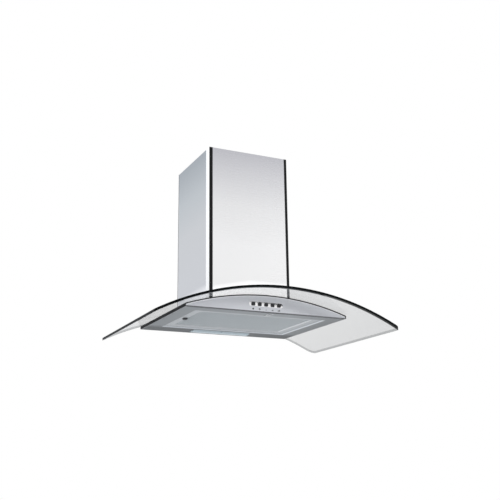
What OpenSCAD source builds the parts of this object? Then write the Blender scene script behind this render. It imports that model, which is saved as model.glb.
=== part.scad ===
// Glass-canopy chimney range hood: a curved glass sheet over a shallow
// steel body, with a square chimney, a blower and a ceiling frame.
// Millimetres, +Z up. The origin is the middle of the footprint at the
// level of the lowest edge of the glass; -Y is the control side.

/* [Glass canopy] */
// Width of the glass, side to side
glass_w = 900; // [880:5:920]
// Depth of the glass, front to back
glass_d = 620; // [600:5:640]
// Thickness of the glass
glass_t = 8; // [6:0.5:8]
// Radius of the bend, to the middle of the glass
glass_r = 975; // [960:5:1000]
// Radius of the front corners
corner_front = 15; // [6:1:24]
// Radius of the rear corners
corner_rear = 30; // [20:1:40]

/* [Body] */
// Width of the steel body
body_w = 610; // [604:2:616]
// Depth of the steel body
body_d = 468; // [464:1:470]
// Distance from the front of the glass to the fascia
body_setback = 122; // [120:1:124]
// Height of the underside above the lowest edge of the glass
body_z = 49.5; // [48:0.5:51]
// Thickness of the steel sheet
sheet = 1.2; // [1:0.1:1.4]

/* [Chimney] */
// Side of the square chimney
chim = 320; // [318:1:322]
// Height of the chimney top above the lowest edge of the glass
chim_top = 690.5; // [680:0.5:720]
// Width of the black corner trims
trim_w = 7; // [6:0.5:9]
// Width of the bright strips on the side faces
strip_w = 30; // [20:1:40]

/* [Controls] */
// Middle of the button row, from the middle of the fascia
control_x = -12; // [-16:1:0]
// Distance from one button to the next
button_pitch = 24.5; // [22:0.5:26]
// Side of a square button cap
button_side = 12.4; // [10:0.2:12.4]
// Travel of a button
button_travel = 3; // [2:0.5:3.5]

/* [Lamps] */
// Middle of the lamp strip, from the middle of the body
lamp_x = 0; // [0:1:14]

/* [Filter] */
// Half the width of the filter opening
filter_hw = 245; // [243:1:247]
// Width of the filter's edge frame
filter_border = 28; // [24:1:30]
// Middle of the pull tab on the filter's front edge
pull_x = 14; // [0:1:20]

/* [Blower] */
// Outer radius of the fan wheel
wheel_r = 72; // [68:1:74]
// Number of blades
blades = 36; // [24:2:44]
// Outer radius of the duct collar
duct_r = 75; // [70:1:76]

/* [Hidden] */

$fn = 64;
BIG = 720;              // facets that OpenSCAD itself draws on the wide bends

hw = glass_w / 2;
hd = glass_d / 2;
zc = -sqrt(pow(glass_r - glass_t / 2, 2) - hw * hw);   // height of the bend's axis
r_top = glass_r + glass_t / 2;
r_bot = glass_r - glass_t / 2;
r_body = r_bot - 3.2;   // top of the steel body, under a 3 mm seal

yf = -hd + body_setback;       // fascia plane
yb = yf + body_d;              // rear of the body and of the chimney
bw = body_w / 2;
cy = yb - chim / 2;            // middle of the chimney
cw = chim / 2;

fy0 = yf + 58;  fy1 = yb - 90;  // filter opening, front and rear
fz = body_z + 3.5;                        // underside of the filter
ft = 9;                         // thickness of the filter
hx = filter_hw - 7;  hz = fz + 5;   // filter hinge

ly0 = yb - 70;  ly1 = yb - 12;  // lamp covers, front and rear
lpy = ly1 - 3;  lpz = body_z + 6;     // lamp cover hinge

throat = 130;
deck_z = 119;
box_top = 400;
posts_top = 640;
lift = 350;                     // how far the ceiling frame draws out

vy = cy - 34;  vz = 225;        // fan axis

bz = body_z + 27;                      // height of the button row
bezel_y = yf - 1.2;
mz = body_z + 10;            // height of the marks

function glass_h(x) = zc + sqrt(r_top * r_top - x * x);

module slab(x0, x1, y0, y1, z0, z1) { translate([x0, y0, z0]) cube([x1 - x0, y1 - y0, z1 - z0]); }
// cylinders that run along X and along Y
module xcyl(r, x0, x1, y, z, f = 64) { translate([x0, y, z]) rotate([0, 90, 0]) cylinder(r = r, h = x1 - x0, $fn = f); }
module ycyl(r, y0, y1, x, z, f = 64) { translate([x, y0, z]) rotate([-90, 0, 0]) cylinder(r = r, h = y1 - y0, $fn = f); }
module zcyl(r, z0, z1, x, y, f = 64) { translate([x, y, z0]) cylinder(r = r, h = z1 - z0, $fn = f); }
// everything under the bend of radius r
module under(r, y0, y1) { ycyl(r, y0, y1, 0, zc, BIG); }
module cap(r, x0, x1, y0, y1, z0) {
    intersection() { under(r, y0, y1); slab(x0, x1, y0 - 1, y1 + 1, z0, 200); }
}
module bent_ring(ra, rb, x, y0, y1, w, z0) {
    difference() {
        cap(ra, -x, x, y0, y1, z0);
        under(rb, y0 - 2, y1 + 2);
        slab(-x + w, x - w, y0 + w, y1 - w, z0 - 10, 250);
    }
}
// plan of the glass: small radii in front, larger ones behind
module glass_plan() {
    a = corner_front;  b = corner_rear;
    translate([-hw, -hd + a]) square([glass_w, glass_d - a - b]);
    translate([-hw + a, -hd]) square([glass_w - 2 * a, a + 1]);
    translate([-hw + b, hd - b - 1]) square([glass_w - 2 * b, b + 1]);
    for (s = [-1, 1]) {
        translate([s * (hw - a), -hd + a]) circle(r = a, $fn = 96);
        translate([s * (hw - b), hd - b]) circle(r = b, $fn = 96);
    }
}

// ---------------------------------------------------------------- glass
SCREWS = [for (sx = [-1, 1], sy = [-1, 1]) [sx * 145, cy + sy * 60]];

module glass_canopy() {
    color([0.78, 0.84, 0.86, 0.35])
    difference() {
        intersection() {
            under(r_top, -hd - 5, hd + 5);
            translate([0, 0, -20]) linear_extrude(200) glass_plan();
        }
        under(r_bot, -hd - 10, hd + 10);
        slab(-throat - 3, throat + 3, cy - throat - 3, cy + throat + 3, 0, 200);
        for (p = SCREWS) zcyl(4, 60, 160, p[0], p[1]);
    }
}

module glass_seal() {
    color([0.06, 0.06, 0.07]) {
        // outer ring, with a lip down each side of the body
        difference() {
            cap(r_bot - 0.15, -bw - 1.5, bw + 1.5, yf - 1.5, yb + 0.8, body_z + 0.4);
            intersection() {
                under(r_body + 0.15, yf - 4, yb + 4);
                slab(-bw - 0.1, bw + 0.1, yf - 3, yb + 3, 0, 200);
            }
            slab(-bw + 10.5, bw - 10.5, yf + 10.5, yb - 11.2, 30, 250);
        }
        difference() {
            bent_ring(r_bot - 0.15, r_body + 0.15, 155, cy - 155, cy + 155, 20, 40);
            for (p = SCREWS) zcyl(3, 60, 160, p[0], p[1]);
        }
    }
}

module glass_pads() {
    color([0.1, 0.1, 0.1])
    for (p = SCREWS) difference() {
        zcyl(9, 90, deck_z - 0.1, p[0], p[1]);
        zcyl(2.8, 80, deck_z + 1, p[0], p[1]);
        under(r_top + 0.15, cy - 160, cy + 160);
    }
}

module glass_fasteners() {
    color([0.8, 0.8, 0.82])
    for (p = SCREWS) {
        difference() {
            union() {
                zcyl(2.5, 84, deck_z + 2.5, p[0], p[1]);
                zcyl(4.6, deck_z + 2.05, deck_z + 4.8, p[0], p[1]);
            }
            zcyl(1.6, deck_z + 3.2, deck_z + 6, p[0], p[1], 6);
        }
        difference() {
            zcyl(4.6, 88, 92, p[0], p[1], 6);
            zcyl(2.6, 80, 100, p[0], p[1]);
        }
    }
}

// ---------------------------------------------------------------- body
module body_shell() {
    color([0.72, 0.72, 0.76])
    difference() {
        cap(r_body, -bw, bw, yf + sheet + 0.2, yb, body_z);
        difference() {
            under(r_body - sheet, yf - 1, yb - sheet);
            slab(-bw - 5, -bw + sheet, yf - 2, yb, 0, 150);
            slab(bw - sheet, bw + 5, yf - 2, yb, 0, 150);
        }
        slab(-throat + 4, throat - 4, cy - throat + 4, cy + throat - 4, 60, 160);
        for (p = SCREWS) zcyl(2.8, 60, 160, p[0], p[1]);
    }
}

module button_hole(i, s, y0, y1) {
    x = control_x + (i - 2) * button_pitch;
    intersection() {
        slab(x - s / 2, x + s / 2, y0, y1, bz - s / 2, bz + s / 2);
        ycyl(s * 0.585, y0 - 1, y1 + 1, x, bz);
    }
}

module fascia() {
    color([0.72, 0.72, 0.76]) {
        difference() {
            union() {
                cap(r_body, -bw, bw, yf, yf + sheet, body_z);
                slab(-bw + 12, bw - 12, yf + sheet - 0.2, yf + 13, body_z + sheet + 0.2, body_z + 2 * sheet + 0.2);
            }
            for (i = [0:4]) button_hole(i, button_side + 0.8, yf - 5, yf + 6);
        }
    }
}

module bottom_frame() {
    e = bw - sheet - 0.2;
    color([0.62, 0.64, 0.66])
    difference() {
        union() {
            slab(-e, e, yf + sheet + 3.4, yb - sheet - 0.2, body_z, body_z + sheet);
            // sloping rim round the filter
            hull() {
                slab(-filter_hw - 7, filter_hw + 7, fy0 - 7, fy1 + 7, body_z, body_z + sheet);
                slab(-filter_hw - 1.2, filter_hw + 1.2, fy0 - 1.2, fy1 + 1.2, body_z + sheet, fz - 0.2);
            }
            // hinge ears
            for (y = [fy0 - 4.5, fy1 + 1.5]) {
                slab(hx - 5, hx + 5, y, y + 3, body_z + sheet - 0.1, hz);
                ycyl(5, y, y + 3, hx, hz);
            }
        }
        hull() {
            slab(-filter_hw - 6, filter_hw + 6, fy0 - 6, fy1 + 6, body_z - 1, body_z);
            slab(-filter_hw, filter_hw, fy0, fy1, fz - 0.6, fz - 0.5);
        }
        slab(-filter_hw, filter_hw, fy0, fy1, body_z, fz + 1);
        slab(lamp_x - lamp_h - 1, lamp_x + lamp_h + 1, ly0 - 1.5, ly1 + 4, body_z - 1, body_z + 4);
        for (y = [fy0 - 5, fy1 + 1]) ycyl(2.56, y, y + 4, hx, hz);
    }
}

// ---------------------------------------------------------------- controls
module control_bezel() {
    color([0.9, 0.9, 0.92])
    difference() {
        union() {
            slab(control_x - 57, control_x + 57, bezel_y, yf - 0.05, bz - 8, bz + 8);
            for (s = [-1, 1]) ycyl(8, bezel_y, yf - 0.05, control_x + s * 57, bz);
        }
        for (i = [0:4]) button_hole(i, button_side + 0.6, yf - 5, yf + 5);
    }
}

module function_marks() {
    color([0.35, 0.36, 0.38])
    for (i = [0:4]) {
        x = control_x + (i - 2) * button_pitch;
        if (i == 0) ycyl(3, yf - 0.4, yf - 0.02, x, mz);
        if (i == 1) difference() { ycyl(3.2, yf - 0.4, yf - 0.02, x, mz); ycyl(1.6, yf - 2, yf + 1, x, mz); }
        // one, two and three bars
        if (i > 1) for (k = [0:i - 2]) slab(x - (i - 1) * 1.6 + k * 3.2 + 0.5, x - (i - 1) * 1.6 + k * 3.2 + 2.7, yf - 0.4, yf - 0.02, mz - 3, mz + k * 1.5);
    }
}

module push_button(i) {
    s = button_side / 2;
    x = control_x + (i - 2) * button_pitch;
    color([0.05, 0.05, 0.06]) {
        difference() {
            intersection() {
                slab(x - s, x + s, yf - 5, yf + 17, bz - s, bz + s);
                ycyl(s * 1.17, yf - 6, yf + 18, x, bz);
            }
            // shallow dish in the face of the cap
            translate([x, yf - 5 - 38.8, bz]) sphere(r = 40, $fn = 128);
        }
    }
}
module button_light() { push_button(0); }
module button_off() { push_button(1); }
module button_low() { push_button(2); }
module button_medium() { push_button(3); }
module button_high() { push_button(4); }

module switch_block() {
    color([0.15, 0.15, 0.16])
    difference() {
        slab(control_x - 62, control_x + 62, yf + sheet + 0.2, yf + 26, 64, 88);
        for (i = [0:4]) button_hole(i, button_side + 0.6, yf - 5, yf + 22);
    }
}

// ---------------------------------------------------------------- filter
lx = -filter_hw + 19;  lcy = (fy0 + fy1) / 2;

module filter_frame() {
    o = 1.5;  b = filter_border;
    color([0.7, 0.72, 0.73])
    difference() {
        slab(-filter_hw + o, filter_hw - o, fy0 + o, fy1 - o, fz, fz + ft);
        slab(-filter_hw + b, filter_hw - b, fy0 + b, fy1 - b, fz - 1, fz + ft + 1);
        // groove that holds the mesh
        slab(-filter_hw + b - 5, filter_hw - b + 5, fy0 + b - 5, fy1 - b + 5, fz + 2.5, fz + ft - 1.5);
        // channel of the latch, with a window for its grip
        slab(-filter_hw, lx + 7.5, lcy - 8.2, lcy + 8.2, fz + 1.6, fz + 5);
        slab(lx - 7.5, lx + 13, lcy - 5.2, lcy + 5.2, fz - 1, fz + 3);
        // holes for the hinge pins
        for (y = [fy0 - 1, fy1 - 12]) ycyl(2.5, y, y + 13, hx, hz);
    }
}

module filter_mesh() {
    b = filter_border;
    color([0.64, 0.66, 0.67])
    slab(-filter_hw + b - 1, filter_hw - b + 1, fy0 + b - 4.6, fy1 - b + 4.6, fz + 2.8, fz + ft - 1.8);
}

module filter_pins() {
    color([0.75, 0.75, 0.77]) {
        ycyl(2.49, fy0 - 4.4, fy0 + 11.5, hx, hz);
        ycyl(2.49, fy1 - 11.5, fy1 + 4.4, hx, hz);
    }
}

module filter_latch() {
    color([0.05, 0.05, 0.05]) {
        slab(-filter_hw + 0.4, lx - 0.5, lcy - 8, lcy + 8, fz + 1.8, fz + 4.7);
        slab(lx - 6.8, lx + 4.5, lcy - 5, lcy + 5, fz - 1, fz + 2);
        difference() {
            slab(lx - 4, lx + 9, lcy - 9, lcy + 9, fz - 4.2, fz - 0.3);
            for (k = [-1:1]) slab(lx + 2 + k * 4, lx + 3 + k * 4, lcy - 7, lcy + 7, fz - 5, fz - 3.4);
        }
    }
}

module filter_pull() {
    // open V of bright strip that laps forward under the front flange
    color([0.88, 0.88, 0.9]) {
        translate([pull_x, fy0, body_z - 1.3]) linear_extrude(1)
            polygon([[-13, -50], [-9, -50], [0, -10], [9, -50], [13, -50], [4, 8], [-4, 8]]);
        slab(pull_x - 4, pull_x + 4, fy0 + 4, fy0 + 8, body_z - 0.4, fz - 0.1);
    }
}

// ---------------------------------------------------------------- lamps
lr = (29 * 29 + 49) / 14;        // bend of the lamp covers: 58 wide, 7 deep
lyc = (ly0 + ly1) / 2;
lzc = body_z - 4 + lr;

lamp_h = 117;                    // half length of the pair of covers

module lamp_reflector() {
    o = lamp_h + 4;
    color([0.85, 0.86, 0.88]) translate([lamp_x, 0, 0])
    difference() {
        slab(-o, o, ly0 - 3, ly1 + 5.5, body_z + sheet + 0.2, 86);
        slab(-o + 1, -1, ly0 - 2, ly1 + 4.5, 40, 85);
        slab(1, o - 1, ly0 - 2, ly1 + 4.5, 40, 85);
        xcyl(1.56, -o - 10, o + 10, lpy, lpz);
        for (s = [-1, 1]) xcyl(8.3, s > 0 ? o - 2 : -o - 1, s > 0 ? o + 1 : -o + 2, lyc, body_z + 21);
    }
}

module lamp_holders() {
    color([0.92, 0.92, 0.9]) translate([lamp_x, 0, 0])
    for (s = [-1, 1]) {
        xcyl(8, s > 0 ? lamp_h - 22 : -lamp_h - 10, s > 0 ? lamp_h + 10 : -lamp_h + 22, lyc, body_z + 21);
        xcyl(11, s > 0 ? lamp_h - 26 : -lamp_h - 1, s > 0 ? lamp_h + 1 : -lamp_h + 26, lyc, body_z + 21);
    }
}

module lamp_bulbs() {
    color([0.96, 0.97, 1]) translate([lamp_x, 0, 0])
    for (s = [-1, 1]) {
        xcyl(12, s > 0 ? 43 : -83, s > 0 ? 83 : -43, lyc, body_z + 21);
        translate([s * 43, lyc, body_z + 21]) sphere(r = 12);
        xcyl(7, s > 0 ? 82 : -lamp_h + 26.2, s > 0 ? lamp_h - 26.2 : -82, lyc, body_z + 21);
    }
}

module lamp_cover(x0, x1, p0, p1) {
    color([0.86, 0.93, 0.98]) {
        difference() {
            intersection() {
                xcyl(lr, x0, x1, lyc, lzc, 360);
                slab(x0, x1, ly0 + 1, ly1 - 0.4, 30, body_z + 4);
            }
            xcyl(lr - 2, x0 + 1.6, x1 - 1.6, lyc, lzc, 360);
        }
        for (x = [x0, x1 - 2]) slab(x, x + 2, lpy - 3, lpy + 2, body_z + 1.5, lpz + 2);
        xcyl(1.5, p0, p1, lpy, lpz);
    }
}
module lamp_cover_left() {
    translate([lamp_x, 0, 0])
    difference() { lamp_cover(-lamp_h, -2, -lamp_h - 3.8, -0.2); xcyl(4, -lamp_h + 2, -4, lpy, lpz); }
}
module lamp_cover_right() {
    translate([lamp_x, 0, 0])
    difference() { lamp_cover(2, lamp_h, 0.2, lamp_h + 3.8); xcyl(4, 4, lamp_h - 2, lpy, lpz); }
}

// ---------------------------------------------------------------- blower
module throat_collar() {
    color([0.66, 0.67, 0.7])
    difference() {
        slab(-throat, throat, cy - throat, cy + throat, 80, deck_z - 0.1);
        slab(-throat + sheet, throat - sheet, cy - throat + sheet, cy + throat - sheet, 70, 200);
        under(r_body + 0.1, cy - 140, cy + 140);
    }
}

module blower_deck() {
    color([0.66, 0.67, 0.7])
    difference() {
        union() {
            slab(-156, 156, cy - 156, cy + 156, deck_z, deck_z + 2);
            for (s = [-1, 1]) slab(s * 100 - 12, s * 100 + 12, cy + 154, cy + 156, deck_z, deck_z + 22);
        }
        slab(-118, 118, cy - 118, cy + 118, deck_z - 5, deck_z + 5);
        for (p = SCREWS) zcyl(2.8, deck_z - 5, deck_z + 5, p[0], p[1]);
        for (s = [-1, 1]) ycyl(1.7, cy + 150, cy + 160, s * 100, deck_z + 14);
    }
}

module blower_box() {
    h = 128;
    color([0.66, 0.67, 0.7])
    difference() {
        slab(-h, h, cy - h, cy + h, deck_z + 2.1, box_top - sheet);
        slab(-h + sheet, h - sheet, cy - h + sheet, cy + h - sheet, deck_z, box_top + 5);
        xcyl(8.1, h - 5, h + 5, cy - 70, 360);
    }
}

module blower_lid() {
    h = 128;
    color([0.66, 0.67, 0.7])
    difference() {
        slab(-h, h, cy - h, cy + h, box_top - sheet, box_top);
        zcyl(73.6, box_top - 10, box_top + 10, 0, cy, 96);
        for (a = [45:90:315]) zcyl(1.7, box_top - 10, box_top + 10, 82 * cos(a), cy + 82 * sin(a));
    }
}

// scroll outline: o is how far inside the outer face
function scroll(o) = concat(
    [for (a = [90:9:360]) let (r = 82 + 26 * (a - 90) / 270 - o) [vy + r * cos(a), vz + r * sin(a)]],
    [[vy + 108 - o, 330 + o], [vy + 22 + o, 330 + o], [vy + 22 + o, vz + 79 - o * 1.2]]);

module scroll_half(x0, x1, side) {
    difference() {
        translate([x0, 0, 0]) rotate([90, 0, 90]) linear_extrude(x1 - x0) polygon(scroll(0));
        translate([side > 0 ? x0 - 1 : x0 + 2, 0, 0]) rotate([90, 0, 90]) linear_extrude(x1 - x0 - 1) polygon(scroll(2));
        xcyl(60, x0 - 3, x1 + 3, vy, vz, 96);
    }
}
module volute_left() { color([0.2, 0.2, 0.21]) scroll_half(-58, -0.05, -1); }
module volute_right() {
    color([0.2, 0.2, 0.21])
    difference() {
        scroll_half(0.05, 58, 1);
        for (a = [90:120:330]) xcyl(3, 50, 60, vy + 72 * cos(a), vz + 72 * sin(a));
    }
}

module outlet_transition() {
    color([0.24, 0.24, 0.25])
    difference() {
        hull() {
            slab(-58, 58, vy + 22, vy + 108, 330.1, 331);
            zcyl(73, 398, 398.7, 0, cy, 32);
        }
        hull() {
            slab(-56, 56, vy + 24, vy + 106, 330, 330.5);
            zcyl(71, 398.5, 399, 0, cy, 32);
        }
    }
}

module motor_housing() {
    color([0.7, 0.71, 0.72])
    difference() {
        union() {
            xcyl(42, 8, 90, vy, vz, 96);
            xcyl(11, 4, 98, vy, vz);
        }
        xcyl(40, 10, 88, vy, vz, 96);
        xcyl(8, 5, 97, vy, vz);
        xcyl(4.6, 0, 100, vy, vz);
    }
}

module motor_stator() {
    color([0.62, 0.4, 0.22])
    difference() {
        union() {
            xcyl(39.8, 26, 72, vy, vz, 96);
            xcyl(36, 16, 82, vy, vz, 96);
        }
        xcyl(24, 10, 90, vy, vz, 96);
    }
}

module motor_rotor() {
    color([0.5, 0.5, 0.52])
    difference() {
        xcyl(23.5, 27, 71, vy, vz, 96);
        xcyl(4, 20, 80, vy, vz);
    }
}

module motor_shaft() {
    color([0.8, 0.8, 0.82])
    union() {
        xcyl(4, -9, 99.5, vy, vz);
        xcyl(7.95, 5.2, 7.8, vy, vz);
        xcyl(7.95, 90.2, 92.8, vy, vz);
    }
}

module motor_bracket() {
    color([0.6, 0.61, 0.63])
    difference() {
        union() {
            xcyl(50, 60, 63, vy, vz, 96);
            for (a = [90:120:330]) {
                translate([60, vy, vz]) rotate([a - 90, 0, 0]) translate([0, -7, 40]) cube([3, 14, 32]);
                xcyl(7, 60, 63, vy + 72 * cos(a), vz + 72 * sin(a));
            }
        }
        xcyl(42.2, 50, 70, vy, vz, 96);
        for (a = [90:120:330]) xcyl(4.2, 50, 70, vy + 72 * cos(a), vz + 72 * sin(a));
    }
}

module motor_bushes() {
    color([0.08, 0.08, 0.08])
    for (a = [90:120:330]) difference() {
        union() {
            xcyl(4, 58.2, 66, vy + 72 * cos(a), vz + 72 * sin(a));
            xcyl(6, 58.2, 59.8, vy + 72 * cos(a), vz + 72 * sin(a));
            xcyl(6, 63.2, 66, vy + 72 * cos(a), vz + 72 * sin(a));
        }
        xcyl(1.8, 50, 70, vy + 72 * cos(a), vz + 72 * sin(a));
    }
}

module fan_wheel() {
    ri = wheel_r - 12;
    color([0.16, 0.17, 0.18])
    translate([0, vy, vz]) rotate([90, 0, 90]) {
        difference() {
            union() {
                translate([0, 0, -1]) cylinder(r = wheel_r, h = 2, $fn = 96);
                translate([0, 0, -10]) cylinder(r = 12, h = 11, $fn = 64);
                for (z = [-49, 47]) translate([0, 0, z]) difference() {
                    cylinder(r = wheel_r, h = 2, $fn = 96);
                    translate([0, 0, -1]) cylinder(r = ri, h = 4, $fn = 96);
                }
                translate([0, 0, -48]) linear_extrude(96)
                    for (i = [0:blades - 1]) rotate(i * 360 / blades)
                        polygon([[ri + 0.5, 0], [ri + 6, 1.2], [wheel_r - 0.5, 4.6], [wheel_r - 0.7, 5.4], [ri + 6, 2.2], [ri + 0.5, 1.1]]);
            }
            translate([0, 0, -20]) cylinder(r = 4, h = 40, $fn = 64);
        }
    }
}

// ---------------------------------------------------------------- duct outlet
fpz = box_top + 9;               // flap pin

module outlet_collar() {
    color([0.3, 0.3, 0.31])
    difference() {
        union() {
            zcyl(duct_r, box_top + 0.1, box_top + 62, 0, cy, 128);
            zcyl(90, box_top + 0.1, box_top + 2.6, 0, cy, 128);
        }
        zcyl(duct_r - 1.6, box_top + 6.6, box_top + 70, 0, cy, 128);
        zcyl(duct_r - 4.5, box_top - 5, box_top + 70, 0, cy, 128);
        xcyl(2, -80, 80, cy, fpz);
        for (a = [45:90:315]) zcyl(1.7, box_top - 10, box_top + 10, 82 * cos(a), cy + 82 * sin(a));
    }
}

module collar_screws() {
    color([0.8, 0.8, 0.82])
    for (a = [45:90:315]) translate([82 * cos(a), cy + 82 * sin(a), 0]) {
        zcyl(1.65, box_top - 5, box_top + 3, 0, 0);
        zcyl(3.4, box_top + 2.7, box_top + 4.6, 0, 0);
    }
}

module flap_pin() { color([0.8, 0.8, 0.82]) xcyl(1.99, -74.8, 74.8, cy, fpz); }

module flap(s) {
    color([0.45, 0.46, 0.47])
    difference() {
        union() {
            intersection() {
                zcyl(72.4, fpz - 0.6, fpz + 0.6, 0, cy, 128);
                slab(-80, 80, s > 0 ? cy + 4.3 : cy - 80, s > 0 ? cy + 80 : cy - 4.3, fpz - 2, fpz + 2);
            }
            for (k = [0:1]) {
                x = s > 0 ? -60 + k * 61 : -29.5 + k * 61;
                xcyl(3.7, x, x + 29, cy, fpz);
                slab(x, x + 29, s > 0 ? cy : cy - 5, s > 0 ? cy + 5 : cy, fpz - 0.6, fpz + 0.6);
            }
        }
        xcyl(2.05, -90, 90, cy, fpz);
    }
}
module flap_front() { flap(-1); }
module flap_rear() { flap(1); }

// ---------------------------------------------------------------- electrics
module capacitor() {
    color([0.85, 0.85, 0.83]) {
        xcyl(9, 195, 238, yf + 25, 61);
        xcyl(6, 190, 196, yf + 25, 61);
    }
}

module terminal_box() {
    color([0.9, 0.9, 0.88])
    difference() {
        union() {
            slab(110, 180, yf + 16, yf + 50, body_z + 4, 80);
            slab(106, 184, yf + 22, yf + 44, body_z + 4, body_z + 6.5);
        }
        slab(112, 178, yf + 18, yf + 48, body_z + 6, 78);
    }
}

module cable_gland() {
    color([0.1, 0.1, 0.1])
    translate([128, cy - 70, 360]) rotate([0, 90, 0]) difference() {
        union() {
            translate([0, 0, -9]) cylinder(r = 8, h = 20);
            translate([0, 0, -6]) cylinder(r = 11, h = 4.6, $fn = 6);
            translate([0, 0, 0.1]) cylinder(r = 11, h = 4.6, $fn = 6);
            translate([0, 0, 5]) cylinder(r = 9.5, h = 9);
        }
        translate([0, 0, -20]) cylinder(r = 4.2, h = 60);
    }
}

// route of the wires from the switches, under the bend, up to the motor
LOOM = [[30, yf + 27, 78], [32, yf + 32, 85], [40, yf + 44, 88], [70, yf + 70, 88], [100, yf + 100, 88],
    [110, yf + 122, 88], [112, cy - 120, 88], [112, cy - 108, 90], [112, cy - 103, 97], [112, cy - 102, 150],
    [112, cy - 97, 185], [110, cy - 84, 208], [106, cy - 62, 230], [102, vy + 6, vz + 26], [97, vy, vz + 24], [92, vy, vz + 24]];
function unit(v) = v / norm(v);
function heading(i) = unit(LOOM[min(i + 1, len(LOOM) - 1)] - LOOM[max(i - 1, 0)]);
// a side direction carried along the route without twisting
function sides(i) = i == 0 ? [unit(cross(heading(0), [1, 0, 0]))]
    : let (p = sides(i - 1), u = p[i - 1], t = heading(i)) concat(p, [unit(u - (u * t) * t)]);
module wiring_loom() {
    n = 8;  m = len(LOOM);  r = 3.2;  u = sides(m - 1);
    color([0.12, 0.12, 0.12])
    polyhedron(
        points = [for (i = [0:m - 1]) let (t = heading(i), v = cross(t, u[i])) for (k = [0:n - 1])
            LOOM[i] + r * (cos(k * 360 / n) * u[i] + sin(k * 360 / n) * v)],
        faces = concat(
            [[for (k = [0:n - 1]) k]],
            [for (i = [0:m - 2]) for (k = [0:n - 1]) let (a = i * n + k, b = i * n + (k + 1) % n) [a, a + n, b + n, b]],
            [[for (k = [n - 1:-1:0]) (m - 1) * n + k]]),
        convexity = 6);
}

// ---------------------------------------------------------------- ceiling frame
module angles(o, leg, t, z0, z1) {
    for (sx = [-1, 1], sy = [-1, 1]) translate([0, cy, 0]) {
        xa = sx * o;  xb = sx * (o - leg);  xc = sx * (o - t);
        ya = sy * o;  yb2 = sy * (o - leg); yc = sy * (o - t);
        slab(min(xa, xb), max(xa, xb), min(ya, yc), max(ya, yc), z0, z1);
        slab(min(xa, xc), max(xa, xc), min(ya, yb2), max(ya, yb2), z0, z1);
    }
}
BZ = [600, 625];
module lower_posts() {
    color([0.6, 0.61, 0.63])
    difference() {
        union() angles(149.2, 18, 2, deck_z + 2.1, posts_top);
        for (z = BZ, sx = [-1, 1], sy = [-1, 1]) xcyl(2.6, sx > 0 ? 140 : -160, sx > 0 ? 160 : -140, cy + sy * 140.5, z);
    }
}

module post_bolts() {
    color([0.8, 0.8, 0.82])
    for (z = BZ, sx = [-1, 1], sy = [-1, 1]) {
        y = cy + sy * 140.5;
        a = sx > 0 ? 143.6 : -154.8;
        xcyl(2.4, a, a + 11.2, y, z);
        xcyl(4.4, sx > 0 ? 151.9 : -154.8, sx > 0 ? 154.8 : -151.9, y, z);
        xcyl(4.6, sx > 0 ? 143.6 : -147, sx > 0 ? 147 : -143.6, y, z, 6);
    }
}

module upper_posts() {
    color([0.62, 0.63, 0.65])
    difference() {
        union() angles(151.6, 20, 2, 150, chim_top - 2.6);
        // long adjusting slots
        for (sx = [-1, 1], sy = [-1, 1]) {
            y = cy + sy * 140.5;
            a = sx > 0 ? 149 : -153;
            slab(a, a + 4, y - 2.75, y + 2.75, BZ[0] - lift - 8, BZ[1] + 6);
        }
    }
}

module ceiling_plate() {
    color([0.62, 0.63, 0.65])
    difference() {
        union() {
            slab(-156.1, 156.1, cy - 156.1, cy + 156.1, chim_top - 2.5, chim_top);
            for (s = [-1, 1]) slab(s > 0 ? 154.1 : -156.1, s > 0 ? 156.1 : -154.1, cy - 50, cy + 50, chim_top - 24, chim_top - 2);
        }
        zcyl(84, chim_top - 10, chim_top + 10, 0, cy, 128);
        for (sx = [-1, 1], sy = [-1, 1]) zcyl(4.25, chim_top - 10, chim_top + 10, sx * 100, cy + sy * 100);
        for (sx = [-1, 1], sy = [-1, 1]) xcyl(1.6, sx > 0 ? 150 : -160, sx > 0 ? 160 : -150, cy + sy * 35, chim_top - 14);
    }
}

// ---------------------------------------------------------------- chimney
module chimney_cut() { difference() { children(); under(r_top + 0.25, cy - 200, cy + 200); } }

module chimney_front() {
    color([0.86, 0.86, 0.88])
    chimney_cut() slab(-cw + trim_w, cw - trim_w, cy - cw, cy - cw + sheet, 90, chim_top);
}
module chimney_rear() {
    color([0.86, 0.86, 0.88])
    difference() {
        chimney_cut() slab(-cw + trim_w, cw - trim_w, cy + cw - sheet, cy + cw, 90, chim_top);
        for (s = [-1, 1]) ycyl(1.7, cy + 150, cy + 165, s * 100, deck_z + 14);
    }
}
module chimney_side(s) {
    color([0.7, 0.73, 0.77])
    chimney_cut() slab(s > 0 ? cw - sheet : -cw, s > 0 ? cw : -cw + sheet, cy - cw + 2.2 + strip_w, cy + cw - 2.2, 80, chim_top);
}
module chimney_side_left() { chimney_side(-1); }
module chimney_side_right() { chimney_side(1); }

module chimney_trims() {
    color([0.04, 0.04, 0.05])
    for (sx = [-1, 1], sy = [-1, 1]) {
        xa = sx * (cw + 0.3);  xb = sx * (cw - trim_w + 0.2);
        ya = cy + sy * (cw + 1.2);  yc = cy + sy * (cw - 2);
        chimney_cut() slab(min(xa, xb), max(xa, xb), min(ya, yc), max(ya, yc), 80, chim_top);
    }
}
module chimney_strips() {
    color([0.97, 0.97, 0.98])
    for (s = [-1, 1])
        chimney_cut() slab(s > 0 ? cw - sheet : -cw - 0.2, s > 0 ? cw + 0.2 : -cw + sheet, cy - cw + 2.2, cy - cw + 2 + strip_w, 80, chim_top);
}

module upper_sleeve() {
    o = cw - 2.5;
    color([0.8, 0.8, 0.82])
    difference() {
        slab(-o, o, cy - o, cy + o, 150, chim_top);
        slab(-o + 1, o - 1, cy - o + 1, cy + o - 1, 140, chim_top + 10);
        for (sx = [-1, 1], sy = [-1, 1]) xcyl(1.6, sx > 0 ? 150 : -160, sx > 0 ? 160 : -150, cy + sy * 35, chim_top - 14);
    }
}

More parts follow.
